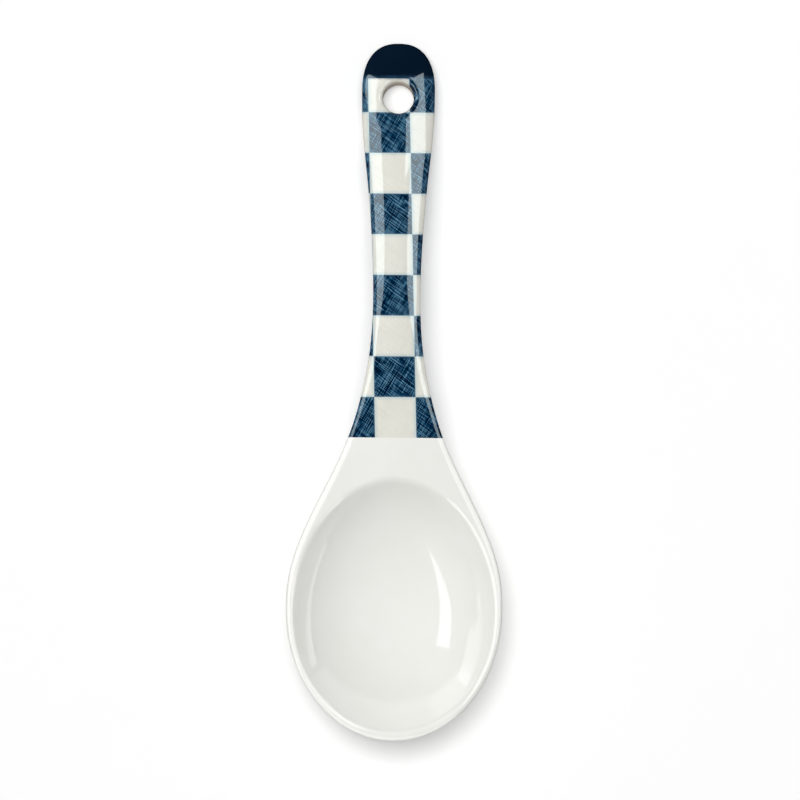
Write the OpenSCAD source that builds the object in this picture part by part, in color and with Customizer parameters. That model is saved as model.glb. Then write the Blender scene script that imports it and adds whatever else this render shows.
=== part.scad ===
// Glazed ceramic serving spoon: egg-shaped bowl with a thin rim, a neck that
// narrows into an arched handle, a check print wrapped round the handle, a solid
// navy end and a hanging hole.
// Frame: X across, Y along the spoon (handle end at +Y), Z up.
// The origin is on the table under the middle of the spoon.

/* [Overall] */
// Length from the bowl's lip to the handle's end
spoon_l = 230; // [220:1:240]
// Thickness of the glaze coat
glaze_t = 0.4; // [0.3:0.05:0.5]

/* [Bowl] */
// Width over the rim
bowl_w = 71.2; // [68:0.1:74]
// Depth of the hollow below the rim
hollow_d = 14.6; // [12:0.1:15]
// Width of the rim beside the widest part of the hollow
rim_w = 2.3; // [2.1:0.1:3.2]
// Rounding of the hollow's lip
lip_k = 1.6; // [0.6:0.1:1.8]
// Diameter of the dry foot
foot_d = 20; // [16:0.5:22]

/* [Handle] */
// Width at the waist
waist_w = 15.6; // [14.5:0.1:17]
// Width at the widest part of the end
end_w = 24; // [23:0.1:26]

/* [Hanging hole] */
// Diameter of the hole
hole_d = 10.2; // [8:0.1:10.6]
// Distance from the handle's end to the middle of the hole
hole_in = 18.5; // [18.5:0.5:22]
// Radius of the hole's rounded lips
hole_lip = 2.2; // [1.8:0.1:2.4]
// Thickness of the glaze that pools in the hole
hole_t = 0.9; // [0.6:0.1:1]

/* [Print] */
// Distance from the bowl's lip to the start of the print
print_from = 100; // [98:0.5:104]
// Length of one row of checks
row_l = 13.4; // [13:0.1:13.6]
// Width of the middle column of checks
column_w = 13.6; // [13:0.1:14]
// Width of the middle column underneath
under_w = 10; // [9:0.1:11]
// Sideways lean of the columns, in degrees
lean = 1.63; // [0:0.01:2]
// Length of the navy end
tip_l = 11.6; // [11:0.1:11.8]
// Thickness of the printed colour
print_t = 0.12; // [0.1:0.01:0.14]

/* [Hidden] */
kl = spoon_l / 230;
bowl_c = 43 * kl;            // widest point of the bowl, from the lip
bowl_r = bowl_w / 2;
end_c = 214 * kl;            // widest point of the handle's end
end_r = end_w / 2;
end_n = 2.4;                 // squareness of the handle's end
tip_from = spoon_l - tip_l;
hole_s = spoon_l - hole_in;
hole_r = hole_d / 2;
gap = 0.04;                  // line left between neighbouring checks

// Smooth curve through stations: second derivatives, then values.
function flip_list(v) = [for (i = [len(v) - 1 : -1 : 0]) v[i]];
function row_lo(t, i) = i == 0 || i == len(t) - 1 ? 0 : t[i][0] - t[i - 1][0];
function row_hi(t, i) = i == 0 ? 0 : i == len(t) - 1 ? 0 : t[i + 1][0] - t[i][0];
function row_mid(t, i) = i == 0 || i == len(t) - 1 ? 1 : 2 * (t[i + 1][0] - t[i - 1][0]);
function row_rhs(t, i) = i == 0 || i == len(t) - 1 ? 0 :
    6 * ((t[i + 1][1] - t[i][1]) / (t[i + 1][0] - t[i][0])
       - (t[i][1] - t[i - 1][1]) / (t[i][0] - t[i - 1][0]));
function sweep(t, i = 0, c = 0, d = 0, out = []) = i == len(t) ? out :
    let (m = row_mid(t, i) - row_lo(t, i) * c,
         c2 = row_hi(t, i) / m,
         d2 = (row_rhs(t, i) - row_lo(t, i) * d) / m)
    sweep(t, i + 1, c2, d2, concat(out, [[c2, d2]]));
function back(w, i, m = 0, out = []) = i < 0 ? flip_list(out) :
    let (v = w[i][1] - w[i][0] * m) back(w, i - 1, v, concat(out, [v]));
function curve(t) = let (w = sweep(t)) [t, back(w, len(t) - 1)];
function seg(t, x, i = 0) = i >= len(t) - 2 || x < t[i + 1][0] ? i : seg(t, x, i + 1);
function at(c, x) =
    let (t = c[0], m = c[1], i = seg(t, x), h = t[i + 1][0] - t[i][0],
         a = (t[i + 1][0] - x) / h, b = 1 - a)
    a * t[i][1] + b * t[i + 1][1] + ((a * a * a - a) * m[i] + (b * b * b - b) * m[i + 1]) * h * h / 6;
function stations(t) = curve([for (p = t) [p[0] * kl, p[1]]]);

// Half width of the plan: shares of the step from bowl to waist, then waist to end.
// The mirrored stations outside both ends make the curve level there.
wa = waist_w / 2;
shares_a = [[30, 0.96], [43, 1], [56, 0.96], [70, 0.79], [84, 0.547], [98, 0.31], [112, 0.148], [126, 0.047], [144, 0]];
shares_b = [[164, 0.123], [184, 0.5], [204, 0.95], [214, 1], [224, 0.95], [244, 0.5]];
plan = stations(concat([for (p = shares_a) [p[0], wa + (bowl_r - wa) * p[1]]],
                       [for (p = shares_b) [p[0], wa + (end_r - wa) * p[1]]]));
// Height of the rim and the handle's ridge
ridge = stations([[0, 20.6], [20, 19.7], [43, 18.8], [65, 18.2], [86, 18.2], [100, 18.6], [115, 19.2], [130, 19.6],
                  [145, 19.5], [160, 18.8], [175, 17.4], [190, 15.3], [205, 12.6], [218, 9.9], [230, 7.2]]);
// Rise of the ridge above the widest line of the section
rise = stations([[0, 1.3], [43, 1.3], [70, 1.35], [86, 1.4], [100, 1.3], [112, 1.6], [120, 1.95], [134, 2.25], [147, 2.6], [160, 3],
                 [174, 3.4], [187, 3.75], [201, 4.25], [212, 4.6], [230, 4.7]]);
// Part of that rise that is a slow dome from edge to edge
crown = stations([[0, 0], [43, 0], [86, 0.05], [100, 0.2], [112, 0.55], [120, 0.85], [134, 1.3], [147, 1.75], [160, 2.1],
                  [174, 2.4], [187, 2.7], [201, 3.05], [212, 3.3], [230, 3.4]]);
// Height of the keel under the bowl and handle
keel = stations([[0, -0.2], [22, -0.2], [43, -0.2], [52, -0.1], [62, 0.9], [74, 3.2], [86, 6.1], [98, 8.6], [112, 10.3], [126, 10.9],
                 [144, 10.7], [160, 9.9], [175, 8.4], [190, 6.3], [205, 3.5], [218, 0.8], [230, -1.9]]);
// Width of the upper edge's slope, and radius of the lower edge
edge_up = stations([[0, 1.8], [43, 1.8], [60, 2.1], [75, 2.7], [86, 2.8], [97, 2.4], [108, 2.4], [120, 2.8], [134, 2], [147, 1.4],
                    [162, 1.25], [180, 1.4], [201, 1.6], [230, 1.7]]);
edge_lo = stations([[0, 16], [86, 16], [100, 14], [112, 11.2], [126, 8.9], [144, 7.7], [164, 8.2], [184, 9.8], [204, 11.6], [212, 11.9], [230, 11.9]]);

function half_w(s) =
    s <= 0 || s >= spoon_l ? 0 :
    s < bowl_c ? bowl_r * sqrt(max(0, 1 - pow((bowl_c - s) / bowl_c, 2))) :
    s > end_c ? end_r * pow(max(0, 1 - pow((s - end_c) / (spoon_l - end_c), end_n)), 1 / end_n) :
    at(plan, s);
function lean_cos(s) = let (g = (at(plan, s + 0.05) - at(plan, s - 0.05)) / 0.1) 1 / sqrt(1 + g * g);

// Share of the way from the middle to the outline, and distance from the outline,
// for the plan shrunk by o.
function share(x, s, o) =
    s < bowl_c ? sqrt(pow(x / (bowl_r - o), 2) + pow((bowl_c - s) / (bowl_c - o), 2)) :
    s > end_c ? pow(pow(abs(x) / (end_r - o), end_n) + pow((s - end_c) / (spoon_l - end_c - o), end_n), 1 / end_n) :
    abs(x) / (half_w(s) - o);
function inset(x, s, o) =
    let (r = share(x, s, o))
    s < bowl_c ? (r < 0.001 ? bowl_r : max(0, 1 - r) / r * norm([x, bowl_c - s])) :
    s > end_c ? (r < 0.001 ? end_r : max(0, 1 - r) / r * norm([x, s - end_c])) :
    max(0, (half_w(s) - o - abs(x)) * lean_cos(s));
function quarter(t) = t <= 0 ? 0 : t >= 1 ? 1 : sqrt(1 - pow(1 - t, 2.3));
// Upper edge: a gentle slope that turns down sharply at the outline
function brow(t) = t <= 0 ? 0 : t >= 1 ? 1 : 0.6 * (1 - pow(1 - t, 2)) + 0.4 * sqrt(1 - pow(1 - t, 12));
function ease(t) = t <= 0 ? 0 : t >= 1 ? 1 : t * t * (3 - 2 * t);
function soft_min(a, b, k) = let (h = max(k - abs(a - b), 0) / k) min(a, b) - h * h * k / 4;

// Egg-shaped hollow: 0 in the middle, 1 at its edge
hollow_c = 44.5 * kl;
hollow_l = 41.7 * kl;
hollow_r = bowl_r - rim_w;
function hollow_share(x, s, o) =
    let (v = (s - hollow_c) / (hollow_l + o))
    sqrt(pow(x / ((hollow_r + o) * (1 - 0.065 * v)), 2) + v * v);

function mid_z(s) = at(ridge, s) - at(rise, s);
function top_z(x, s, o) =
    let (c = at(crown, s),
         p = mid_z(s) + c * (1 - pow(min(1, share(x, s, o)), 2)) + (at(rise, s) - c - o) * brow(inset(x, s, o) / at(edge_up, s)))
    s > 95 * kl ? p :
    soft_min(p, at(ridge, s) - (hollow_d + o) * (1 - pow(hollow_share(x, s, o), 2.8)), lip_k);
function low_z(x, s, o) =
    let (m = mid_z(s), w = ease((s / kl - 78) / 48),
         g = pow(max(0, 1 - pow(min(1, share(x, s, o)), 2.6)), 0.8),
         q = quarter(inset(x, s, o) / at(edge_lo, s)))
    max(o, m - (m - at(keel, s) - o) * ((1 - w) * g + w * q));
function put(x, s, z) = [x, s - spoon_l / 2, z];

// A body is meshed along rays that run from its outline to a spine on the middle line.
// A ray is [outline x, outline s, spine s, spine number].
// Stations along the neck, closest where the hollow ends
neck_at = concat([for (s = [50, 57, 63, 69, 74, 78, 81, 83.5, 85.2, 86.4, 87.8, 90, 94.5]) s * kl], [print_from]);
n_neck = len(neck_at);
n_lip = 24;
bowl_rays = function (o) concat(
    [for (k = [n_neck : -1 : 1]) let (s = neck_at[k - 1]) [-(half_w(s) - o), s, s, k]],
    [for (i = [0 : n_lip]) let (a = 180 + 180 * i / n_lip) [(bowl_r - o) * cos(a), bowl_c + (bowl_c - o) * sin(a), bowl_c, 0]],
    [for (k = [1 : n_neck]) let (s = neck_at[k - 1]) [half_w(s) - o, s, s, k]]);
n_tip = 16;
function end_x(a, o) = (end_r - o) * pow(abs(cos(a)), 2 / end_n) * sign(cos(a));
function end_s(a, o) = end_c + (spoon_l - end_c - o) * pow(sin(a), 2 / end_n);
function end_a(s, o) = asin(pow((s - end_c) / (spoon_l - end_c - o), end_n / 2));
function end_rays(from, n, o) =
    let (a0 = end_a(tip_from, o)) concat(
    n < 1 ? [] : [for (k = [n : -1 : 1]) let (s = tip_from - (tip_from - from) * k / n) [end_w_at(s, o), s, s, k]],
    [for (i = [0 : n_tip]) let (a = a0 + (180 - 2 * a0) * i / n_tip) [end_x(a, o), end_s(a, o), tip_from, 0]],
    n < 1 ? [] : [for (k = [1 : n]) let (s = tip_from - (tip_from - from) * k / n) [-end_w_at(s, o), s, s, k]]);
function end_w_at(s, o) = s > end_c ? abs(end_x(end_a(s, o), o)) : half_w(s) - o;

// Distances of the rings from the outline
function bowl_up(r) = let (d = [0.12, 0.35, 0.75, 1.2, 1.6, 2, 2.4, 2.9, 4, 6])
    concat(d, [for (j = [1 : 5]) 6 + (r - 6) * j / 6]);
function bowl_lo(r) = let (d = [0.15, 0.5, 1.1, 2.2, 4, 6.5])
    concat(d, [for (j = [1 : 4]) 6.5 + (r - 6.5) * j / 5]);
function dome(r) = [for (j = [1 : n_half - 1]) r * (1 - cos(90 * j / n_half))];

// Points of a body: outline, upper rings, upper spine, lower rings, lower spine
function ring_pt(ray, d, o, up) =
    let (v = [0 - ray[0], ray[2] - ray[1]], f = d / norm(v),
         x = ray[0] + v[0] * f, s = ray[1] + v[1] * f)
    put(x, s, up ? top_z(x, s, o) : low_z(x, s, o));
function reach(ray) = norm([ray[0], ray[2] - ray[1]]);
function spine_s(rays) = let (n = max([for (r = rays) r[3]])) [for (k = [0 : n]) [for (r = rays) if (r[3] == k) r[2]][0]];
function body_pts(rays, o, up, lo) = concat(
    [for (r = rays) put(r[0], r[1], mid_z(r[1]))],
    [for (r = rays) for (d = up(reach(r))) ring_pt(r, d, o, true)],
    [for (s = spine_s(rays)) put(0, s, top_z(0, s, o))],
    [for (r = rays) for (d = lo(reach(r))) ring_pt(r, d, o, false)],
    [for (s = spine_s(rays)) put(0, s, low_z(0, s, o))]);
// Index of ring j (0 outline ... m rings ... m+1 spine) on ray i
function at_up(rays, i, j, m) = let (n = len(rays)) j == 0 ? i : j <= m ? n + i * m + j - 1 : n + n * m + rays[i][3];
function at_lo(rays, i, j, m, ml) =
    let (n = len(rays), k = len(spine_s(rays)), b = n + n * m + k)
    j == 0 ? i : j <= ml ? b + i * ml + j - 1 : b + n * ml + rays[i][3];
function quad(a, b, c, d) = [for (t = [[a, b, c], [a, c, d]]) if (t[0] != t[1] && t[1] != t[2] && t[0] != t[2]) t];
function body_faces(rays, m, ml) = concat(
    [for (i = [0 : len(rays) - 2]) for (j = [0 : m])
        each quad(at_up(rays, i, j, m), at_up(rays, i, j + 1, m), at_up(rays, i + 1, j + 1, m), at_up(rays, i + 1, j, m))],
    [for (i = [0 : len(rays) - 2]) for (j = [0 : ml])
        each quad(at_lo(rays, i, j, m, ml), at_lo(rays, i + 1, j, m, ml), at_lo(rays, i + 1, j + 1, m, ml), at_lo(rays, i, j + 1, m, ml))]);
// Loop round the cut end, outline to outline over the top and back underneath
function cut_loop(rays, m, ml) = let (n = len(rays) - 1) concat(
    [for (j = [0 : m + 1]) at_up(rays, 0, j, m)],
    [for (j = [m : -1 : 0]) at_up(rays, n, j, m)],
    [for (j = [1 : ml + 1]) at_lo(rays, n, j, m, ml)],
    [for (j = [ml : -1 : 1]) at_lo(rays, 0, j, m, ml)]);
function turn(f) = [for (t = f) flip_list(t)];
function shift(f, n) = [for (t = f) [for (i = t) i + n]];
function band(a, b) = let (n = len(a)) [for (i = [0 : n - 1]) each quad(a[i], a[(i + 1) % n], b[(i + 1) % n], b[i])];

module core(rays, o, up, lo) {
    m = len(up(20));
    ml = len(lo(20));
    polyhedron(body_pts(rays, o, up, lo), concat(body_faces(rays, m, ml), [flip_list(cut_loop(rays, m, ml))]), convexity = 8);
}
module coat(outer, inner, o1, o2, up, lo) {
    m = len(up(20));
    ml = len(lo(20));
    a = body_pts(outer, o1, up, lo);
    b = body_pts(inner, o2, up, lo);
    f = body_faces(outer, m, ml);
    c = cut_loop(outer, m, ml);
    polyhedron(concat(a, b), concat(f, turn(shift(f, len(a))), band([for (i = c) i + len(a)], c)), convexity = 10);
}

// Section loop of the handle at s, left edge over the top and back underneath
n_half = 10;
function loop_at(s, o) =
    let (w = end_w_at(s, o)) concat(
    [for (j = [0 : 2 * n_half]) let (x = -w * cos(90 * j / n_half)) put(x, s, j == 0 || j == 2 * n_half ? mid_z(s) : top_z(x, s, o))],
    [for (j = [1 : 2 * n_half - 1]) let (x = w * cos(90 * j / n_half)) put(x, s, low_z(x, s, o))]);
module bar(from, to, n, o) {
    q = 4 * n_half;
    p = [for (k = [0 : n]) each loop_at(from + (to - from) * k / n, o)];
    function lp(k) = [for (i = [0 : q - 1]) k * q + i];
    polyhedron(p, concat([flip_list(lp(0))], [for (k = [0 : n - 1]) each band(lp(k), lp(k + 1))], [lp(n)]), convexity = 8);
}
module sleeve(from, to, n, o1, o2) {
    q = 4 * n_half;
    p = [for (o = [o1, o2]) for (k = [0 : n]) each loop_at(from + (to - from) * k / n, o)];
    function lp(o, k) = [for (i = [0 : q - 1]) (o * (n + 1) + k) * q + i];
    polyhedron(p, concat(
        [for (k = [0 : n - 1]) each band(lp(0, k), lp(0, k + 1))],
        [for (k = [0 : n - 1]) each turn(band(lp(1, k), lp(1, k + 1)))],
        band(lp(1, 0), lp(0, 0)),
        band(lp(0, n), lp(1, n))), convexity = 10);
}

// Checks: rows are counted from the start of the print, columns lean to one side
// above and to the other underneath, as a sheet wrapped at an angle does.
n_rows = 9;
function row_s(k) = min(print_from + row_l * k, tip_from);
function column_x(s, side, up) =
    let (w = half_w(s) - 0.3, m = 0.05 - tan(lean) * (s - print_from))
    max(-w, min(w, up ? m + side * column_w / 2 : side * under_w / 2 - m));
// A patch is a grid of points on the surface, given a thickness
n_along = 4;
n_across = 10;
function patch_face(k, up, o) = [for (i = [0 : n_along]) let (
        s = row_s(k) + gap + (row_s(k + 1) - row_s(k) - 2 * gap) * i / n_along,
        a = column_x(s, -1, up) + gap, b = column_x(s, 1, up) - gap)
    [for (j = [0 : n_across]) let (x = max(-(half_w(s) - o - 0.03), min(half_w(s) - o - 0.03, a + (b - a) * (1 - cos(180 * j / n_across)) / 2)))
        put(x, s, up ? top_z(x, s, o) : low_z(x, s, o))]];
function patch_side(k, side, o) = [for (i = [0 : n_along]) let (
        s = row_s(k) + gap + (row_s(k + 1) - row_s(k) - 2 * gap) * i / n_along,
        a = side * column_x(s, side, true) + gap, b = side * column_x(s, side, false) + gap, w = end_w_at(s, o))
    [for (j = [0 : 18]) let (e = j < 6 ? a : b, x = side * (e + (w - e) * sin(j < 6 ? 15 * j : 7.5 * (18 - j))))
        put(x, s, j == 6 ? mid_z(s) : j < 6 ? top_z(x, s, o) : low_z(x, s, o))]];
module patch(outer, inner, reverse) {
    n = len(outer);
    m = len(outer[0]);
    p = concat([for (r = outer) each r], [for (r = inner) each r]);
    g = [for (i = [0 : n - 2]) for (j = [0 : m - 2]) each quad(i * m + j, (i + 1) * m + j, (i + 1) * m + j + 1, i * m + j + 1)];
    e = concat([for (j = [0 : m - 1]) j], [for (i = [1 : n - 1]) i * m + m - 1],
               [for (j = [m - 2 : -1 : 0]) (n - 1) * m + j], [for (i = [n - 2 : -1 : 1]) i * m]);
    f = concat(g, turn(shift(g, n * m)), band(e, [for (i = e) i + n * m]));
    polyhedron(p, reverse ? turn(f) : f, convexity = 6);
}
module check(k, side) {
    if (side == 0) {
        patch(patch_face(k, true, 0), patch_face(k, true, print_t), false);
        patch(patch_face(k, false, 0), patch_face(k, false, print_t), true);
    } else
        patch(patch_side(k, side, 0), patch_side(k, side, print_t), side < 0);
}

// Hanging hole, square to the handle's ridge
hole_tilt = atan((at(ridge, hole_s + 1) - at(ridge, hole_s - 1)) / 2);
hole_z = (at(ridge, hole_s) + at(keel, hole_s)) / 2;
hole_h = (at(ridge, hole_s) - at(keel, hole_s)) / 2 * cos(hole_tilt) + 0.3;
module on_hole() translate(put(0, hole_s, hole_z)) rotate([hole_tilt, 0, 0]) children();
// Half outline of the hole, g wider than the finished hole
function hole_line(g) = let (c = hole_r + hole_lip, h = hole_h - hole_lip, r = hole_lip - g) concat(
    [for (i = [0 : 6]) [c - r * sin(15 * i), -h - r * cos(15 * i)]],
    [for (i = [6 : -1 : 0]) [c - r * sin(15 * i), h + r * cos(15 * i)]]);
module hole_plug(g) on_hole() rotate_extrude($fn = 72)
    polygon(concat([[0, -hole_h - 3], [hole_r + hole_lip, -hole_h - 3]], hole_line(g), [[hole_r + hole_lip, hole_h + 3], [0, hole_h + 3]]));
module hole_ring() on_hole() rotate_extrude($fn = 72)
    polygon(concat(hole_line(0), flip_list(hole_line(hole_t))));

// Fired clay bowl and neck with the dry foot
module bowl() color([0.80, 0.76, 0.69]) {
    core(bowl_rays(glaze_t), glaze_t, function (r) bowl_up(r), function (r) bowl_lo(r));
    translate(put(0, bowl_c, 0)) cylinder(d = foot_d, h = 2, $fn = 72);
}
// Rows along the print, and the row where the handle gives way to its end
n_along_handle = 27;
n_end = 5;
end_from = tip_from - (tip_from - print_from) * n_end / n_along_handle;
// Fired clay handle between the neck and its flared end
module handle() color([0.80, 0.76, 0.69])
    bar(print_from, end_from, n_along_handle - n_end, glaze_t);
// Flared end of the fired clay handle, with the hanging hole through it
module handle_end() color([0.80, 0.76, 0.69]) difference() {
    core(end_rays(end_from, n_end, glaze_t), glaze_t, function (r) dome(r), function (r) dome(r));
    hole_plug(hole_t);
}
// White coat over the bowl and neck, open at the foot
module bowl_glaze() color([0.93, 0.93, 0.91]) difference() {
    coat(bowl_rays(0), bowl_rays(glaze_t), 0, glaze_t, function (r) bowl_up(r), function (r) bowl_lo(r));
    translate(put(0, bowl_c, -2)) cylinder(d = foot_d, h = 4, $fn = 72);
}
// Off-white ground of the printed sheet, round the handle
module transfer_ground() color([0.90, 0.90, 0.86]) difference() {
    sleeve(print_from, tip_from, n_along_handle, print_t, glaze_t);
    hole_plug(hole_t);
}
// Blue squares of the print
module blue_checks() color([0.12, 0.27, 0.37]) {
    for (k = [0, 2, 4, 6]) for (side = [-1, 1]) check(k, side);
    for (k = [1, 3, 5]) check(k, 0);
    difference() {
        union() {
            check(8, -1);
            check(8, 1);
            check(7, 0);
        }
        hole_plug(hole_t);
    }
}
// Solid navy coat on the handle's end
module navy_tip() color([0.04, 0.10, 0.16]) difference() {
    coat(end_rays(tip_from, 0, 0), end_rays(tip_from, 0, glaze_t), 0, glaze_t, function (r) dome(r), function (r) dome(r));
    hole_plug(hole_t);
}
// White lining of the hanging hole
module hole_glaze() color([0.93, 0.93, 0.91]) intersection() {
    hole_ring();
    core(end_rays(196 * kl, 6, print_t), print_t, function (r) dome(r), function (r) dome(r));
}

bowl();
handle();
handle_end();
bowl_glaze();
transfer_ground();
blue_checks();
navy_tip();
hole_glaze();
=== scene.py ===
import math

import bmesh
import bpy
import numpy as np
from mathutils import Matrix, Vector


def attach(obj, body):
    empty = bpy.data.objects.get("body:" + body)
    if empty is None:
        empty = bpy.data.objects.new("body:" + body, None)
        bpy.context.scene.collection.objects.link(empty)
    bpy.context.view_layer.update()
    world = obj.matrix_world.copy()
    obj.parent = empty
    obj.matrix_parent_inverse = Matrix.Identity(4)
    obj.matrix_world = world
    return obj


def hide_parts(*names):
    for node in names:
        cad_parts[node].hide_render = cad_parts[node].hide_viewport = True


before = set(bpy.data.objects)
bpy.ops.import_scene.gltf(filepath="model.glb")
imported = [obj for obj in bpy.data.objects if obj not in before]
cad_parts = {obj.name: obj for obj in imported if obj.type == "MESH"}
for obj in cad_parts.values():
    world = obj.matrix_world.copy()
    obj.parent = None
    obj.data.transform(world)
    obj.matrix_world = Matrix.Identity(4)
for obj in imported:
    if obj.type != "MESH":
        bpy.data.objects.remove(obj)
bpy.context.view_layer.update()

# ---------------------------------------------------------------- shape, in mm
# s runs along the spoon from the bowl's lip (0) to the handle's end (230).
L = 230.0
BOWL_C, BOWL_R = 43.0, 35.6
END_C, END_R, END_N = 214.0, 12.0, 2.4
WAIST = 7.8
PRINT_FROM, ROW_L, COL_W, LEAN = 100.0, 13.4, 13.6, math.tan(math.radians(1.63))
UNDER_W = 10.0                       # underneath, the columns lean the other way
TIP_FROM = 218.4
HOLE_S, HOLE_R, HOLE_LIP = 211.5, 5.1, 2.2
FOOT_R = 10.0


def spline(table):
    xs, ys = np.array(table, float).T
    n, h = len(xs), np.diff(xs)
    a, r = np.eye(n), np.zeros(n)
    for i in range(1, n - 1):
        a[i, i - 1:i + 2] = h[i - 1], 2 * (h[i - 1] + h[i]), h[i]
        r[i] = 6 * ((ys[i + 1] - ys[i]) / h[i] - (ys[i] - ys[i - 1]) / h[i - 1])
    m = np.linalg.solve(a, r)

    def value(t):
        t = np.asarray(t, float)
        i = np.clip(np.searchsorted(xs, t, side="right") - 1, 0, n - 2)
        p = (xs[i + 1] - t) / h[i]
        q = 1 - p
        return p * ys[i] + q * ys[i + 1] + ((p**3 - p) * m[i] + (q**3 - q) * m[i + 1]) * h[i]**2 / 6
    return value


PLAN = spline(
    [(s, WAIST + (BOWL_R - WAIST) * f) for s, f in (
        (30, .96), (43, 1), (56, .96), (70, .79), (84, .547), (98, .31), (112, .148), (126, .047), (144, 0))]
    + [(s, WAIST + (END_R - WAIST) * f) for s, f in (
        (164, .123), (184, .5), (204, .95), (214, 1), (224, .95), (244, .5))])
RIDGE = spline([(0, 20.6), (20, 19.7), (43, 18.8), (65, 18.2), (86, 18.2), (100, 18.6), (115, 19.2), (130, 19.6),
                (145, 19.5), (160, 18.8), (175, 17.4), (190, 15.3), (205, 12.6), (218, 9.9), (230, 7.2)])
RISE = spline([(0, 1.3), (43, 1.3), (70, 1.35), (86, 1.4), (100, 1.3), (112, 1.6), (120, 1.95), (134, 2.25), (147, 2.6),
               (160, 3), (174, 3.4), (187, 3.75), (201, 4.25), (212, 4.6), (230, 4.7)])
CROWN = spline([(0, 0), (43, 0), (86, .05), (100, .2), (112, .55), (120, .85), (134, 1.3), (147, 1.75), (160, 2.1),
                (174, 2.4), (187, 2.7), (201, 3.05), (212, 3.3), (230, 3.4)])
KEEL = spline([(0, -.2), (22, -.2), (43, -.2), (52, -.1), (62, .9), (74, 3.2), (86, 6.1), (98, 8.6), (112, 10.3),
               (126, 10.9), (144, 10.7), (160, 9.9), (175, 8.4), (190, 6.3), (205, 3.5), (218, .8), (230, -1.9)])
EDGE_UP = spline([(0, 1.8), (43, 1.8), (60, 2.1), (75, 2.7), (86, 2.8), (97, 2.4), (108, 2.4), (120, 2.8), (134, 2),
                  (147, 1.4), (162, 1.25), (180, 1.4), (201, 1.6), (230, 1.7)])
EDGE_LO = spline([(0, 16), (86, 16), (100, 14), (112, 11.2), (126, 8.9), (144, 7.7), (164, 8.2), (184, 9.8),
                  (204, 11.6), (212, 11.9), (230, 11.9)])


def half_w(s):
    s = np.asarray(s, float)
    low = BOWL_R * np.sqrt(np.maximum(0, 1 - ((BOWL_C - np.minimum(s, BOWL_C)) / BOWL_C)**2))
    end = END_R * np.maximum(0, 1 - np.clip((s - END_C) / (L - END_C), 0, 1)**END_N)**(1 / END_N)
    return np.where(s < BOWL_C, low, np.where(s > END_C, end, PLAN(np.clip(s, BOWL_C, END_C))))


def share_inset(x, s):
    """Share of the way out to the plan's outline, and the distance left to it."""
    x, s = np.abs(np.asarray(x, float)), np.asarray(s, float)
    rb = np.sqrt((x / BOWL_R)**2 + ((BOWL_C - s) / BOWL_C)**2)
    re = ((x / END_R)**END_N + (np.maximum(s - END_C, 0) / (L - END_C))**END_N)**(1 / END_N)
    mid = np.clip(s, BOWL_C, END_C)
    w = PLAN(mid)
    g = (PLAN(mid + .05) - PLAN(mid - .05)) / .1
    share = np.where(s < BOWL_C, rb, np.where(s > END_C, re, x / w))
    db = np.maximum(0, 1 - rb) * np.where(rb > 1e-4, np.hypot(x, s - BOWL_C) / np.maximum(rb, 1e-4), BOWL_R)
    de = np.maximum(0, 1 - re) * np.where(re > 1e-4, np.hypot(x, s - END_C) / np.maximum(re, 1e-4), END_R)
    dm = np.maximum(0, (w - x) / np.sqrt(1 + g * g))
    return share, np.where(s < BOWL_C, db, np.where(s > END_C, de, dm))


def quarter(t):
    return np.sqrt(np.maximum(0, 1 - (1 - np.clip(t, 0, 1))**2.3))


def brow(t):
    """Upper edge: a gentle slope that turns down sharply at the outline."""
    u = 1 - np.clip(t, 0, 1)
    return .6 * (1 - u * u) + .4 * np.sqrt(1 - u**12)


def ease(t):
    t = np.clip(t, 0, 1)
    return t * t * (3 - 2 * t)


HOLLOW_C, HOLLOW_L, HOLLOW_R, EGG, HOLLOW_D, HOLLOW_P, LIP_K = 44.5, 41.7, BOWL_R - 2.3, .065, 14.6, 2.8, 1.6


def hollow_share(x, s):
    v = (s - HOLLOW_C) / HOLLOW_L
    return np.sqrt((x / (HOLLOW_R * (1 - EGG * v)))**2 + v * v)


def mid_z(s):
    return RIDGE(s) - RISE(s)


def top_z(x, s):
    x, s = np.asarray(x, float), np.asarray(s, float)
    share, inset = share_inset(x, s)
    crown = CROWN(s)
    p = RIDGE(s) - crown * np.minimum(1, share)**2 - (RISE(s) - crown) * (1 - brow(inset / EDGE_UP(s)))
    h = RIDGE(s) - HOLLOW_D * (1 - hollow_share(x, np.minimum(s, 95))**HOLLOW_P)
    k = np.maximum(LIP_K - np.abs(p - h), 0) / LIP_K
    return np.where(s > 95, p, np.minimum(p, h) - k * k * LIP_K / 4)


def low_z(x, s):
    x, s = np.asarray(x, float), np.asarray(s, float)
    share, inset = share_inset(x, s)
    m, w = mid_z(s), ease((s - 78) / 48)
    g = np.maximum(0, 1 - np.clip(share, 0, 1)**2.6)**.8
    return np.maximum(0, m - (m - KEEL(s)) * ((1 - w) * g + w * quarter(inset / EDGE_LO(s))))


TILT = math.atan(float(RIDGE(HOLE_S + 1) - RIDGE(HOLE_S - 1)) / 2)
HOLE_Z = float(RIDGE(HOLE_S) + KEEL(HOLE_S)) / 2
HALF_T = float(RIDGE(HOLE_S) - KEEL(HOLE_S)) / 2
HOLE_UP = HOLE_S - HALF_T * math.tan(TILT)      # middle of the upper lip
HOLE_LO = HOLE_S + HALF_T * math.tan(TILT)      # middle of the lower lip
STRETCH = 1 / math.cos(TILT)


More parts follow.
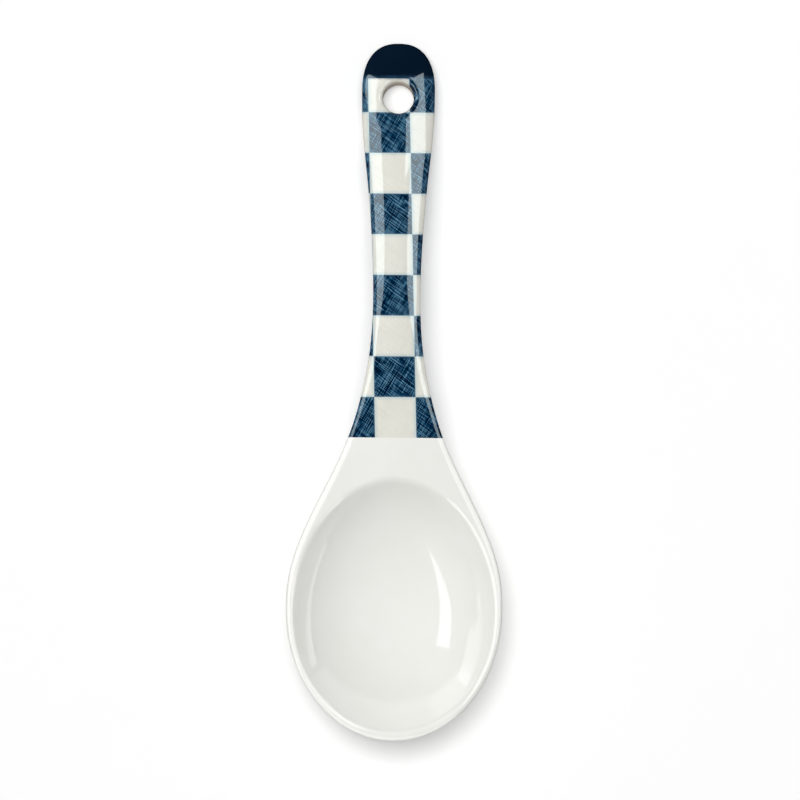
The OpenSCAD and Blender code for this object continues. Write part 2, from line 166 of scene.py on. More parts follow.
# ---------------------------------------------------------------- outer surface
class Surface:
    def __init__(self):
        self.v, self.f, self.kind = [], [], []

    def add(self, x, s, z):
        self.v.append((x, s - L / 2, z))
        return len(self.v) - 1

    def many(self, x, s, z):
        x, s, z = np.broadcast_arrays(x, s, z)
        n = len(self.v)
        self.v.extend(zip(x.tolist(), (s - L / 2).tolist(), z.tolist()))
        return list(range(n, len(self.v)))

    def face(self, *i, kind="skin"):
        i = [a for k, a in enumerate(i) if a != i[k - 1]]
        if len(i) > 2:
            self.f.append(i)
            self.kind.append(kind)


surf = Surface()
HALF = 22
XI = np.sin(np.linspace(-math.pi / 2, math.pi / 2, 2 * HALF + 1))   # across a section
TURN_S = 196.0                                                      # rows give way to rings round the hole


def edge_row(s):
    """Outline points at the stations s, left and right."""
    s = np.asarray(s, float)
    w = half_w(s)
    return surf.many(-w, s, mid_z(s)), surf.many(w, s, mid_z(s))


def across(s):
    x = half_w(s) * XI[1:-1]
    return surf.many(x, np.full_like(x, s), top_z(x, np.full_like(x, s))), surf.many(x, np.full_like(x, s), low_z(x, np.full_like(x, s)))


# handle rows, from the start of the print to the hole's neighbourhood
rows_s = np.linspace(PRINT_FROM, TURN_S, 121)
row_l, row_r = edge_row(rows_s)
row_up, row_lo = zip(*[across(s) for s in rows_s])
for i in range(len(rows_s) - 1):
    for way, grid in (("up", row_up), ("lo", row_lo)):
        a = [row_l[i], *grid[i], row_r[i]]
        b = [row_l[i + 1], *grid[i + 1], row_r[i + 1]]
        for j in range(len(a) - 1):
            if way == "up":
                surf.face(a[j], a[j + 1], b[j + 1], b[j])
            else:
                surf.face(a[j], b[j], b[j + 1], a[j + 1])

# bowl outline, anticlockwise from the left end of the first handle row
neck_s = np.linspace(PRINT_FROM, BOWL_C, 71)[1:]
neck_l, neck_r = edge_row(neck_s)
ang = np.linspace(math.pi, 2 * math.pi, 145)[1:-1]
lip_x, lip_s = BOWL_R * np.cos(ang), BOWL_C + BOWL_C * np.sin(ang)
lip = surf.many(lip_x, lip_s, mid_z(lip_s))
rim = [row_l[0], *neck_l, *lip, *neck_r[::-1], row_r[0]]


def rings(loop, centre, radii, z, first=None, slip=None):
    """Rings between a middle point or circle and a loop; radii(x, s, r) gives them for each ray, outermost left out.
    slip(x, s) moves points along the spoon."""
    pts = np.array([surf.v[i] for i in loop])
    dx, ds = pts[:, 0], pts[:, 1] + L / 2 - centre
    r = np.hypot(dx, ds)
    dx, ds = dx / r, ds / r
    made = []
    for k, rk in enumerate(radii(dx, ds, r)):
        x, s = dx * rk, centre + ds * rk
        if k == 0 and first == "point":
            made.append([surf.add(0, centre, float(z(0.0, centre)))] * len(loop))
        else:
            made.append(surf.many(x, s + slip(x, s) if slip else s, z(x, s)))
    made.append(list(loop))
    return made


def skin(made, up, kind="skin"):
    for a, b in zip(made, made[1:]):
        n = len(a)
        for i in range(n):
            j = (i + 1) % n
            if up:
                surf.face(a[i], b[i], b[j], a[j], kind=kind)
            else:
                surf.face(a[i], a[j], b[j], b[i], kind=kind)


def hollow_reach(dx, ds):
    """Distance from the hollow's middle to its edge along each ray."""
    lo, hi = np.zeros_like(dx), np.full_like(dx, 60.0)
    for _ in range(50):
        m = (lo + hi) / 2
        out = hollow_share(dx * m, HOLLOW_C + ds * m) > 1
        lo, hi = np.where(out, lo, m), np.where(out, m, hi)
    return (lo + hi) / 2


def bowl_radii(dx, ds, r):
    h = hollow_reach(dx, ds)
    room = r - h
    k = np.minimum(1, room / 4.9)
    for u in np.concatenate([np.linspace(0, .8, 25), .8 + .2 * np.sin(np.linspace(0, math.pi / 2, 22))[1:]]):
        if u < 1:
            yield h * u - 1.6 * k * max(0, (u - .8) / .2)
    for d in (-1.3, -1.0, -.7, -.45, -.2, 0, .2, .4, .65, .95, 1.3, 1.7):
        yield h + d * k
    for t in (.12, .25, .4, .55, .7, .85, .97):
        yield (h + 1.7 * k) * (1 - t) + (r - 3.1 * k) * t
    for d in (3, 2.65, 2.3, 1.95, 1.6, 1.3, 1, .75, .54, .36, .22, .12, .05, .015):
        yield r - d * k


def under_radii(dx, ds, r):
    # the dry foot's circle is round the bowl's widest point
    for t in np.concatenate([np.linspace(0, .86, 27), [.89, .915, .935, .95, .963, .974, .983, .99, .995, .998, .9995]]):
        yield FOOT_R + (r - FOOT_R) * t


top_loop = rim + row_up[0][::-1]
skin(rings(top_loop, HOLLOW_C, bowl_radii, top_z, "point"), True)
under = rings(rim + row_lo[0][::-1], BOWL_C, under_radii, low_z)
skin(under, False)

# handle's end: rings round the hanging hole
side_s = np.linspace(TURN_S, END_C, 19)[1:]
side_l, side_r = edge_row(side_s)
ang = np.linspace(0, math.pi, 82)[1:-1]
end_x = END_R * np.sign(np.cos(ang)) * np.abs(np.cos(ang))**(2 / END_N)
end_s = END_C + (L - END_C) * np.sin(ang)**(2 / END_N)
end = surf.many(end_x, end_s, mid_z(end_s))
tip = [row_r[-1], *side_r, *end, *side_l[::-1], row_l[-1]]
LIP_A = np.linspace(0, math.pi / 2, 11)


def hole_reach(dx, ds):
    return 1 / np.sqrt(dx**2 + (ds / STRETCH)**2)


def hole_radii(dx, ds, r):
    e = hole_reach(dx, ds)
    for a in LIP_A:
        yield e * (HOLE_R + HOLE_LIP * (1 - math.cos(a)))
    first = e * (HOLE_R + HOLE_LIP)
    for t in (.06, .14, .24, .35, .46, .57, .67, .76, .835, .895, .94, .97, .988, .997, .9995):
        yield first * (1 - t) + r * t


def lip_drop(x, s, centre):
    r = np.clip(np.hypot(x, (s - centre) / STRETCH) - HOLE_R, 0, HOLE_LIP)
    return HOLE_LIP - np.sqrt(np.maximum(0, HOLE_LIP**2 - (HOLE_LIP - r)**2))


# the lips bend into the hole's tilted wall
up = rings(tip + row_up[-1], HOLE_UP, hole_radii, lambda x, s: top_z(x, s) - lip_drop(x, s, HOLE_UP),
           slip=lambda x, s: lip_drop(x, s, HOLE_UP) * math.tan(TILT))
lo = rings(tip + row_lo[-1], HOLE_LO, hole_radii, lambda x, s: low_z(x, s) + lip_drop(x, s, HOLE_LO),
           slip=lambda x, s: -lip_drop(x, s, HOLE_LO) * math.tan(TILT))
skin(up, True)
skin(lo, False)
va, vb = (np.array([surf.v[i] for i in ring[0]]) for ring in (up, lo))
wall = [up[0]]
for t in np.linspace(0, 1, 9)[1:-1]:
    p = va * (1 - t) + vb * t
    wall.append(surf.many(p[:, 0], p[:, 1] + L / 2, p[:, 2]))
wall.append(lo[0])
skin(wall, False, "hole")

# ---------------------------------------------------------------- cut along the print's lines
KINDS = {"skin": 0, "hole": 1}
me = bpy.data.meshes.new("outer")
me.from_pydata(surf.v, [], surf.f)
me.validate()
bm = bmesh.new()
bm.from_mesh(me)
kind = bm.faces.layers.int.new("kind")
bm.faces.ensure_lookup_table()
for f, k in zip(bm.faces, surf.kind):
    f[kind] = KINDS[k]


def on_top(f):
    c = f.calc_center_median()
    return c.z > float(mid_z(c.y + L / 2))


def cut(point, normal, low, high, over=None):
    """Splits the skin between two stations along a plane, all of it or only its upper or lower side."""
    faces = [f for f in bm.faces if low - .01 < f.calc_center_median().y + L / 2 < high + .01 and f[kind] == 0
             and (over is None or on_top(f) == over)]
    edges = {e for f in faces for e in f.edges}
    verts = {v for f in faces for v in f.verts}
    bmesh.ops.bisect_plane(bm, geom=[*verts, *edges, *faces], dist=1e-4, plane_co=point, plane_no=normal)


LINES = [PRINT_FROM + ROW_L * k for k in range(1, 9)] + [TIP_FROM]
for s in LINES:
    cut((0, s - L / 2, 0), (0, 1, 0), s - 6, s + 6)
for side in (-1, 1):
    cut((.05 + side * COL_W / 2, PRINT_FROM - L / 2, 0), (1, LEAN, 0), PRINT_FROM, TIP_FROM, True)
    cut((-.05 + side * UNDER_W / 2, PRINT_FROM - L / 2, 0), (1, -LEAN, 0), PRINT_FROM, TIP_FROM, False)
bmesh.ops.recalc_face_normals(bm, faces=bm.faces[:])
bm.normal_update()


def girth(x, s, up):
    """Distances round the sections from the middle of their tops."""
    q = np.linspace(0, 1, 49)
    w = half_w(s)
    at = np.arcsin(np.clip(np.abs(x) / np.maximum(w, 1e-6), 0, 1))

    def run(a, b, z):
        px = w[:, None] * np.sin(a[:, None] + (b - a)[:, None] * q)
        pz = z(px, np.broadcast_to(s[:, None], px.shape))
        return np.hypot(np.diff(px), np.diff(pz)).sum(1)
    none, full = np.zeros_like(at), np.full_like(at, math.pi / 2)
    return np.where(up, run(none, at, top_z), run(none, full, top_z) + run(at, full, low_z))


def label(f):
    c = f.calc_center_median()
    s = c.y + L / 2
    if f[kind] == 1:
        return "hole"
    if s < PRINT_FROM:
        reach = .97 + .055 * float(ease((s - 74) / 9))             # takes in the lip towards the neck
        inside = c.z > float(mid_z(s)) - 20 and f.normal.z > 0 and float(hollow_share(c.x, min(s, 95.0))) < reach
        return "hollow" if inside else "bowl"
    if s > TIP_FROM:
        return "navy"
    row = int((s - PRINT_FROM) / ROW_L)
    turn, wide = (1, COL_W) if on_top(f) else (-1, UNDER_W)
    off = c.x + turn * (LEAN * (s - PRINT_FROM) - .05)
    col = -1 if off < -wide / 2 else 1 if off > wide / 2 else 0
    return "blue" if (row + abs(col)) % 2 else "white"


groups = {}
for f in bm.faces:
    groups.setdefault(label(f), []).append(f)


def wrap_of(faces):
    """Print coordinates of the faces' corners, in mm: round the handle, and along it."""
    x, s, up, side = [], [], [], []
    for f in faces:
        c = f.calc_center_median()
        over = c.z > mid_z(c.y + L / 2)
        for v in f.verts:
            x.append(v.co.x)
            s.append(v.co.y + L / 2)
            up.append(over)
            side.append(math.copysign(1, c.x if abs(v.co.x) < 1e-4 else v.co.x))
    s = np.array(s)
    return list(zip(girth(np.array(x), s, np.array(up)) * np.array(side), s))


def shell(name, faces, thick, wrap=False):
    """A closed piece: the faces as its outside, a copy set in by thick, and a wall round each edge."""
    verts = sorted({v for f in faces for v in f.verts}, key=lambda v: v.index)
    place = {v: i for i, v in enumerate(verts)}
    n = len(verts)
    co = [v.co for v in verts] + [v.co - v.normal * thick for v in verts]
    poly, norm, uv = [], [], []
    chosen = set(faces)
    for f in faces:
        c = [place[v] for v in f.verts]
        poly.append(c)
        norm += [v.normal for v in f.verts]
        uv += [(v.co.x, v.co.y) for v in f.verts]
    if wrap:
        uv = wrap_of(faces)
    for f in faces:
        c = [place[v] + n for v in reversed(f.verts[:])]
        poly.append(c)
        norm += [-v.normal for v in reversed(f.verts[:])]
        uv += [(v.co.x, v.co.y) for v in reversed(f.verts[:])]
    for f in faces:
        for lp in f.loops:
            if sum(g in chosen for g in lp.edge.link_faces) == 1:
                a, b = lp.vert, lp.link_loop_next.vert
                poly.append([place[b], place[a], place[a] + n, place[b] + n])
                out = (b.co - a.co).cross(f.normal).normalized()
                norm += [out] * 4
                uv += [(v.co.x, v.co.y) for v in (b, a, a, b)]
    mesh = bpy.data.meshes.new(name)
    mesh.from_pydata([c / 1000 for c in co], [], poly)
    mesh.polygons.foreach_set("use_smooth", [True] * len(poly))
    layer = mesh.uv_layers.new(name="wrap")
    layer.uv.foreach_set("vector", np.array(uv, np.float32).ravel())
    mesh.normals_split_custom_set([tuple(v) for v in norm])
    mesh.update()
    ob = bpy.data.objects.new(name, mesh)
    bpy.context.scene.collection.objects.link(ob)
    return ob


for i, v in enumerate(bm.verts):
    v.index = i
pieces = {
    "bowl": shell("bowl_glaze_skin", groups["bowl"], .25),
    "hollow": shell("hollow_glaze_skin", groups["hollow"], .25),
    "white": shell("transfer_ground_skin", groups["white"], .2, True),
    "blue": shell("blue_check_prints", groups["blue"], .2, True),
    "navy": shell("navy_tip_skin", groups["navy"], .25),
    "hole": shell("hole_glaze_skin", groups["hole"], .25),
}
bm.free()
bpy.data.meshes.remove(me)


# ---------------------------------------------------------------- materials
class Nodes:
    def __init__(self, name):
        self.mat = bpy.data.materials.new(name)
        self.mat.use_nodes = True
        self.tree = self.mat.node_tree
        self.bsdf = self.tree.nodes["Principled BSDF"]

    def add(self, kind, **values):
        n = self.tree.nodes.new(kind)
        for k, v in values.items():
            if hasattr(n, k) and not k[0].isupper():
                setattr(n, k, v)
            else:
                n.inputs[k.replace("_", " ")].default_value = v
        return n

    def link(self, a, b):
        self.tree.links.new(a, b)

    def noise(self, vector, scale, detail=2.0, rough=.5, distortion=0.0):
        n = self.add("ShaderNodeTexNoise", Scale=scale, Detail=detail, Roughness=rough, Distortion=distortion)
        self.link(vector, n.inputs["Vector"])
        return n.outputs["Fac"]

    def ramp(self, fac, low, high, a, b):
        n = self.add("ShaderNodeMapRange", From_Min=low, From_Max=high, To_Min=a, To_Max=b)
        n.clamp = True
        self.link(fac, n.inputs["Value"])
        return n.outputs["Result"]

    def mix(self, fac, a, b, blend="MIX"):
        n = self.add("ShaderNodeMix", data_type="RGBA", blend_type=blend)
        for socket, value in ((n.inputs[0], fac), (n.inputs[6], a), (n.inputs[7], b)):
            if isinstance(value, bpy.types.NodeSocket):
                self.link(value, socket)
            else:
                socket.default_value = value if isinstance(value, float) else (*value, 1)
        return n.outputs[2]

    def math(self, op, a, b=0.0, c=0.0):
        n = self.add("ShaderNodeMath", operation=op)
        for socket, value in zip(n.inputs, (a, b, c)):
            if isinstance(value, bpy.types.NodeSocket):
                self.link(value, socket)
            else:
                socket.default_value = value
        return n.outputs[0]

    def bump(self, height, distance, strength=1.0):
        n = self.add("ShaderNodeBump", Strength=strength, Distance=distance)
        self.link(height, n.inputs["Height"])
        self.link(n.outputs["Normal"], self.bsdf.inputs["Normal"])


def srgb(*c):
    return tuple(((v / 255 + .055) / 1.055)**2.4 if v > 10 else v / 255 / 12.92 for v in c)


def obj_coord(m):
    return m.add("ShaderNodeTexCoord").outputs["Object"]


def glaze(name, light, dark, rough=.045):
    """Glossy glaze: faint cloudiness in the colour, a slow waviness in the surface."""
    m = Nodes(name)
    p = obj_coord(m)
    cloud = m.noise(p, 34, 3, .55)
    m.link(m.mix(m.ramp(cloud, .35, .7, 0, 1), light, dark), m.bsdf.inputs["Base Color"])
    m.link(m.ramp(m.noise(p, 90, 2), .3, .7, rough * .8, rough * 1.25), m.bsdf.inputs["Roughness"])
    m.bump(m.noise(p, 45, 1.5), .00012, .5)
    m.bsdf.inputs["IOR"].default_value = 1.5
    return m.mat


def hole_lining():
    """Glaze in the hole, painted warm and pale for light bounced into it, and darkened down its wall by painted shade.
    """
    m = Nodes("hole_glaze")
    p = obj_coord(m)
    part = m.add("ShaderNodeSeparateXYZ")
    m.link(p, part.inputs[0])
    # painted shade: the wall gets darker towards the bottom of the hole, where less light reaches
    painted_hole_shade = m.ramp(part.outputs[2], (HOLE_Z - 1.5) / 1000, (HOLE_Z + 2.6) / 1000, 1, 0)
    # painted light: the lining is warmer and paler than the other glaze, standing in for light bounced into the hole
    light = m.mix(m.ramp(m.noise(p, 34, 3, .55), .35, .7, 0, 1), srgb(246, 236, 222), srgb(240, 229, 214))
    m.link(m.mix(painted_hole_shade, light, srgb(206, 196, 184)), m.bsdf.inputs["Base Color"])
    m.link(m.ramp(m.noise(p, 90, 2), .3, .7, .08, .12), m.bsdf.inputs["Roughness"])
    m.bump(m.noise(p, 45, 1.5), .00012, .5)
    m.bsdf.inputs["IOR"].default_value = 1.5
    return m.mat


def turned(m, uv, angle):
    """Coordinates with x along strokes at an angle."""
    n = m.add("ShaderNodeMapping")
    n.inputs["Rotation"].default_value = (0, 0, math.radians(angle))
    m.link(uv, n.inputs["Vector"])
    return n.outputs[0]


def strokes(m, at, across_mm, along_mm, seed, detail=1.5):
    """Long thin strokes, 0 to 1."""
    n = m.add("ShaderNodeMapping")
    n.inputs["Scale"].default_value = (1 / along_mm, 1 / across_mm, 1)
    n.inputs["Location"].default_value = (seed, seed * 1.7, seed * .3)
    m.link(at, n.inputs["Vector"])
    return m.noise(n.outputs[0], 1.0, detail, .6)


def lines(m, at, pitch_mm, wander, seed):
    """Fine ruled lines that waver a little, 0 to 1."""
    part = m.add("ShaderNodeSeparateXYZ")
    m.link(at, part.inputs[0])
    stray = m.math("MULTIPLY", strokes(m, at, 2.2, 14, seed), wander)
    phase = m.math("ADD", m.math("MULTIPLY", part.outputs[1], 2 * math.pi / pitch_mm), stray)
    return m.math("MULTIPLY_ADD", m.math("SINE", phase), .5, .5)


def gloss(m, low=.035, high=.06):
    """Clear gloss over a print, slightly uneven."""
    p = obj_coord(m)
    m.link(m.ramp(m.noise(p, 90, 2), .3, .7, low, high), m.bsdf.inputs["Roughness"])
    m.bump(m.noise(p, 45, 1.5), .00012, .5)
    m.bsdf.inputs["IOR"].default_value = 1.5


def total(m, *terms):
    """Sum of (value, gain) pairs, each value taken from its middle, 0.5."""
    out = None
    for value, gain in terms:
        part = m.math("MULTIPLY_ADD", value, gain, -.5 * gain)
        out = part if out is None else m.math("ADD", out, part)
    return out


def navy():
    """Navy glaze, thinner and paler where it ends."""
    m = Nodes("navy_glaze")
    uv = m.add("ShaderNodeUVMap", uv_map="wrap").outputs[0]
    part = m.add("ShaderNodeSeparateXYZ")
    m.link(uv, part.inputs[0])
    base = m.mix(m.ramp(m.noise(obj_coord(m), 34, 3, .55), .35, .7, 0, 1), srgb(6, 20, 36), srgb(9, 25, 42))
    edge = m.math("MULTIPLY_ADD", m.noise(uv, .35, 2), 1.2, part.outputs[1])
    thin = m.ramp(edge, TIP_FROM - L / 2 + .4, TIP_FROM - L / 2 + 1.9, .6, 0)
    m.link(m.mix(thin, base, srgb(44, 80, 108)), m.bsdf.inputs["Base Color"])
    gloss(m)
    return m.mat


def bleed(m, uv, colour):
    """Navy glaze that has run a little over the end of the print."""
    part = m.add("ShaderNodeSeparateXYZ")
    m.link(uv, part.inputs[0])
    edge = m.math("MULTIPLY_ADD", m.noise(uv, .35, 2), 1.2, part.outputs[1])
    return m.mix(m.ramp(edge, TIP_FROM - .1, TIP_FROM + 1.0, 0, .8), colour, srgb(48, 84, 112))


def ink_edge(m, uv):
    """Distance to the nearest line between checks, in mm, a little uneven."""
    part = m.add("ShaderNodeSeparateXYZ")
    m.link(obj_coord(m), part.inputs[0])
    way = m.add("ShaderNodeSeparateXYZ")
    m.link(m.add("ShaderNodeTexCoord").outputs["Normal"], way.inputs[0])
    over = m.math("GREATER_THAN", way.outputs[2], 0.0)
    along = m.math("MULTIPLY_ADD", part.outputs[1], 1000.0, L / 2 - PRINT_FROM)
    middle = m.math("MULTIPLY", m.math("MULTIPLY_ADD", along, LEAN, -.05), m.math("MULTIPLY_ADD", over, 2.0, -1.0))
    off = m.math("MULTIPLY_ADD", part.outputs[0], 1000.0, middle)
    half = m.math("MULTIPLY_ADD", over, (COL_W - UNDER_W) / 2, UNDER_W / 2)
    column = m.math("ABSOLUTE", m.math("SUBTRACT", m.math("ABSOLUTE", off), half))
    row = m.math("PINGPONG", along, ROW_L / 2)
    row = m.math("MAXIMUM", row, m.math("SUBTRACT", ROW_L / 2, along))        # none where the print starts
    return m.math("ADD", m.math("MINIMUM", column, row), m.math("MULTIPLY_ADD", m.noise(uv, 1.7, 2), .8, -.4))


def print_blue():
    """Cross-hatched ink: ruled lines, thin strokes, a few bold ones and pale patches."""
    m = Nodes("print_blue")
    uv = m.add("ShaderNodeUVMap", uv_map="wrap").outputs[0]
    down, rise = turned(m, uv, 36), turned(m, uv, -61)
    swell_a = m.ramp(strokes(m, down, 1.6, 8, 4.4), .36, .64, .4, 1.0)
    swell_b = m.ramp(strokes(m, rise, 1.6, 8, 9.6), .38, .66, .25, .85)
    ruled_a = m.math("MULTIPLY", total(m, (lines(m, down, .66, 17, 2.3), 1.0)), swell_a)
    ruled_b = m.math("MULTIPLY", total(m, (lines(m, rise, .72, 17, 6.1), 1.0)), swell_b)
    tone = total(m, (strokes(m, down, .4, 5, 14.2), 2.4), (strokes(m, rise, .42, 4.5, 21.9), 2.1), (m.noise(uv, .2, 2, .55), 1.0))
    bold_a = m.ramp(strokes(m, down, 1.5, 14, 3.1, 2.5), .56, .62, 0, .5)
    bold_b = m.ramp(strokes(m, rise, 1.6, 12, 8.7, 2.5), .59, .65, 0, .4)
    for part in (ruled_a, ruled_b, bold_a, bold_b):
        tone = m.math("ADD", tone, part)
    ink = m.add("ShaderNodeValToRGB")
    m.link(m.math("ADD", tone, .46), ink.inputs[0])
    marks = ink.color_ramp.elements
    marks[0].position, marks[1].position = 0, 1
    marks[0].color, marks[1].color = (*srgb(82, 120, 144), 1), (*srgb(0, 16, 38), 1)
    for at, c in ((.25, srgb(33, 78, 106)), (.5, srgb(10, 52, 80)), (.75, srgb(0, 35, 62))):
        marks.new(at).color = (*c, 1)
    c = m.mix(m.ramp(ink_edge(m, uv), 0, .5, .3, 0), ink.outputs[0], srgb(112, 152, 174))
    m.link(bleed(m, uv, c), m.bsdf.inputs["Base Color"])
    gloss(m)
    return m.mat


def print_white():
    m = Nodes("print_white")
    uv = m.add("ShaderNodeUVMap", uv_map="wrap").outputs[0]
    base = m.mix(m.ramp(m.noise(uv, .14, 3, .6), .32, .68, 0, 1), srgb(221, 220, 211), srgb(216, 215, 206))
    grey_a = m.ramp(strokes(m, turned(m, uv, 36), .6, 9, 5.3), .52, .7, 0, .28)
    grey_b = m.ramp(strokes(m, turned(m, uv, -61), .7, 8, 11.4), .54, .72, 0, .25)
    c = m.mix(grey_a, base, srgb(200, 200, 192))
    c = m.mix(grey_b, c, srgb(202, 202, 194))
    c = m.mix(m.ramp(ink_edge(m, uv), 0, 1.2, .38, 0), c, srgb(116, 168, 184))
    m.link(bleed(m, uv, c), m.bsdf.inputs["Base Color"])
    gloss(m)
    return m.mat


def clay():
    m = Nodes("fired_clay")
    p = obj_coord(m)
    base = m.mix(m.ramp(m.noise(p, 120, 4, .6), .3, .7, 0, 1), srgb(222, 210, 190), srgb(203, 190, 168))
    speck = m.ramp(m.noise(p, 1900, 1, .5), .66, .72, 0, .6)
    m.link(m.mix(speck, base, srgb(150, 130, 108)), m.bsdf.inputs["Base Color"])
    m.link(m.ramp(m.noise(p, 400, 3), .3, .7, .7, .9), m.bsdf.inputs["Roughness"])
    m.bump(m.noise(p, 1400, 3, .6), .00006, .7)
    return m.mat


WHITE = glaze("white_glaze", srgb(231, 231, 227), srgb(227, 227, 222))
MATS = {
    "bowl": WHITE,
    "hollow": WHITE,
    "hole": hole_lining(),
    "navy": navy(),
    "blue": print_blue(),
    "white": print_white(),
}
STANDS_FOR = {"bowl": ("bowl_glaze", "white_glaze"), "hollow": ("bowl_glaze", "white_glaze"), "white": ("transfer_ground", "print_white"),
              "blue": ("blue_checks", "print_blue"), "navy": ("navy_tip", "navy_glaze"), "hole": ("hole_glaze", "white_glaze")}
for key, ob in pieces.items():
    ob.data.materials.append(MATS[key])
    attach(ob, "root")
    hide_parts(STANDS_FOR[key][0])
CLAY = clay()
for node in ("bowl", "handle", "handle_end"):
    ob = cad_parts[node]
    if not ob.material_slots:
        ob.data.materials.append(CLAY)
    for slot in ob.material_slots:
        slot.material = CLAY

# ---------------------------------------------------------------- floor, light and camera
floor_me = bpy.data.meshes.new("floor")
floor_me.from_pydata([(-4, -4, 0), (4, -4, 0), (4, 4, 0), (-4, 4, 0)], [], [(0, 1, 2, 3)])
floor = bpy.data.objects.new("floor", floor_me)
bpy.context.scene.collection.objects.link(floor)
fm = Nodes("floor_paper")
paper = fm.mix(fm.noise(obj_coord(fm), 60, 3), (.96, .96, .96), (.95, .95, .95))
fm.link(paper, fm.bsdf.inputs["Base Color"])
fm.bsdf.inputs["Roughness"].default_value = .9
fm.bsdf.inputs["Specular IOR Level"].default_value = .1
fm.bsdf.inputs["Emission Color"].default_value = (1, 1, 1, 1)
fm.bsdf.inputs["Emission Strength"].default_value = .24
floor.visible_glossy = False
floor.data.materials.append(fm.mat)

scene = bpy.context.scene
world = scene.world or bpy.data.worlds.new("studio")
scene.world = world
world.use_nodes = True
tree = world.node_tree
back = tree.nodes["Background"]
# an even sky that the glaze doesn't mirror
back.inputs["Color"].default_value = (1, 1, 1, 1)
back.inputs["Strength"].default_value = .1
world.cycles_visibility.glossy = False


def lamp(name, place, across, along, wide, long, radiance, mirrored=True, shows_in=None, tint=(1, 1, 1)):
    """Area light, with the directions of its two sides. It is either mirrored in the glaze,
    or lights the scene without a reflection of its own."""
    x, y = Vector(across).normalized(), Vector(along).normalized()
    data = bpy.data.lights.new(name, "AREA")
    data.shape = "RECTANGLE"
    data.size, data.size_y = wide, long
    data.energy = radiance * wide * long * math.pi
    data.color = tint
    ob = bpy.data.objects.new(name, data)
    m = Matrix((x, y, x.cross(y))).transposed().to_4x4()
    m.translation = Vector(place)
    ob.matrix_world = m
    ob.visible_glossy, ob.visible_diffuse = mirrored, not mirrored
    scene.collection.objects.link(ob)
    if shows_in:
        lit = bpy.data.collections.new(name + "_shows_in")
        for piece in shows_in:
            lit.objects.link(piece)
        ob.light_linking.receiver_collection = lit
    return ob


def softbox(name, theta, azimuth, dist, wide, long, *more, across=0.0, along=0.0, **named):
    """A lamp at an angle from overhead that faces the spoon, long side along it, and moved in its own plane."""
    u, a = math.radians(theta), math.radians(azimuth)
    z = Vector((math.sin(u) * math.cos(a), math.sin(u) * math.sin(a), math.cos(u)))
    y = (Vector((0, 1, 0)) - z * z.y).normalized()
    x = y.cross(z)
    return lamp(name, Vector((0, 0, .015)) + z * dist + x * across + y * along, x, y, wide, long, *more, **named)


COOL = (.84, .98, 1)
HOLLOW, RIM = [pieces["hollow"]], [pieces["bowl"]]
PRINTS = [pieces[k] for k in ("white", "blue", "navy")]
SPOON = [*pieces.values(), *(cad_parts[k] for k in ("bowl", "handle", "handle_end"))]
# reflections in the hollow
lamp("softbox_left", (-.68, .03, .73), (.767, -.4, -.502), (.239, .904, -.355), 1.018, .569, 4.0, shows_in=HOLLOW, tint=COOL)
lamp("card_back", (0, 1.85, .48), (-1, 0, 0), (0, 0, 1), 6.4, .92, 1.0, shows_in=HOLLOW)
lamp("card_left", (-2, .9, .4), (0, -1, 0), (0, 0, 1), 1.1, .6, 2.0, shows_in=HOLLOW)
lamp("card_low", (-2, .025, .16), (0, -1, 0), (0, 0, 1), .65, .3, 1.8, shows_in=HOLLOW)
for i in range(6):                   # the low card's top rises in small steps to that of the left one
    high = .39 * (1 - (i + .5) / 6)
    lamp(f"card_join_{i}", (-2, .35 - .0375 * (i + .5), .31 + high / 2), (0, -1, 0), (0, 0, 1), .0375, high, 1.9, shows_in=HOLLOW)
lamp("card_corner", (-1.54, 1.71, .5), (-.743, -.669, 0), (0, 0, 1), 1.15, .8, .9, shows_in=HOLLOW)
lamp("card_right", (1.5, -.1, .13), (0, 1, 0), (0, 0, 1), 1.6, .24, 2.2, shows_in=HOLLOW)
# on the rim and neck
softbox("rim_left", 42, 180, 1.0, .8, 1.1, 3.8, shows_in=RIM)
softbox("rim_right", 42, 28, 1.0, .8, 1.1, 3.6, shows_in=RIM)
softbox("rim_front", 46, -90, 1.0, 1.4, .7, 3.2, shows_in=RIM)
softbox("rim_back", 45, 90, 1.0, 1.4, .6, 1.1, shows_in=RIM)
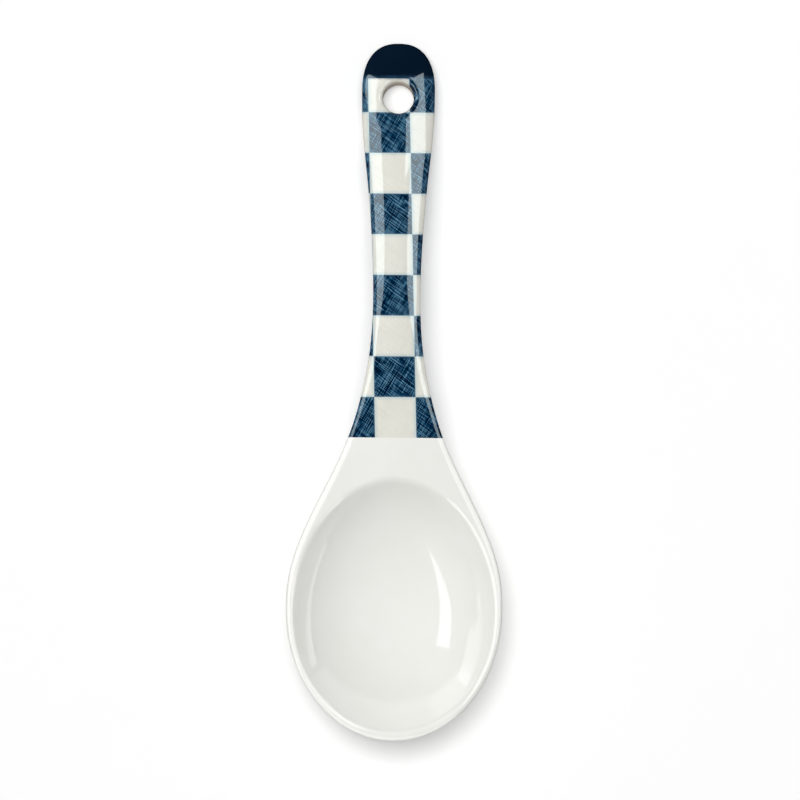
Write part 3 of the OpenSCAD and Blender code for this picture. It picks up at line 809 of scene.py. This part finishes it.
# on the handle
softbox("strip_left", 40, 180, 1.0, .4, .97, 5.3, across=-.02, along=-.015, shows_in=PRINTS, tint=COOL)
softbox("strip_left_end", 40, 180, 1.0, .93, .25, 5.3, across=-.435, along=.595, shows_in=PRINTS, tint=COOL)
softbox("strip_right", 36, 0, 1.0, .425, .9, 5.6, along=-.05, shows_in=PRINTS, tint=COOL)
softbox("strip_right_end", 36, 0, 1.0, .58, .42, 5.6, across=-.11, along=.61, shows_in=PRINTS, tint=COOL)
for name, place, side in (("horizon_back", (0, 1.9, .25), (-1, 0, 0)), ("horizon_left", (-1.9, 0, .25), (0, -1, 0)), ("horizon_right", (1.9, 0, .25), (0, 1, 0))):
    lamp(name, place, side, (0, 0, 1), 3.6, .46, .4, shows_in=PRINTS[:2])
# even light on the spoon
softbox("fill_over", 9, 100, 2.2, 1.7, 1.7, 3.0, False, shows_in=SPOON)
softbox("fill_front", 55, -90, 2.0, 1.6, 1.6, 1.6, False, shows_in=SPOON)
softbox("fill_back", 55, 90, 2.0, 1.6, 1.6, 1.9, False, shows_in=SPOON)
softbox("fill_left", 55, 180, 2.0, 1.6, 1.6, 1.75, False, shows_in=SPOON)
softbox("fill_right", 55, 0, 2.0, 1.6, 1.6, .35, False, shows_in=SPOON)
# on the floor, from nearly overhead
softbox("floor_over", 9, 100, 5.0, 3.86, 3.86, 2.35, False, shows_in=[floor])
softbox("floor_back", 12, 90, 5.0, 2.05, 2.05, 3.0, False, shows_in=[floor])
softbox("floor_left", 19, 140, 5.0, 2.05, 2.05, 3.75, False, shows_in=[floor])

cam = bpy.data.cameras.new("camera")
cam.sensor_width = 36
PX = 230 / 698.5 / 1000                      # metres a pixel at the rim's height
DIST = 6.0
cam.lens = 36 * DIST / (800 * PX)
cam.clip_start, cam.clip_end = .05, 100
cam_ob = bpy.data.objects.new("camera", cam)
cam_ob.location = (.00135, -.00257, DIST + .016)
cam_ob.rotation_euler = (0, 0, math.radians(.49))
scene.collection.objects.link(cam_ob)
scene.camera = cam_ob
scene.view_settings.view_transform = "Standard"
scene.view_settings.look = "None"
scene.view_settings.exposure = 0
scene.view_settings.gamma = 1
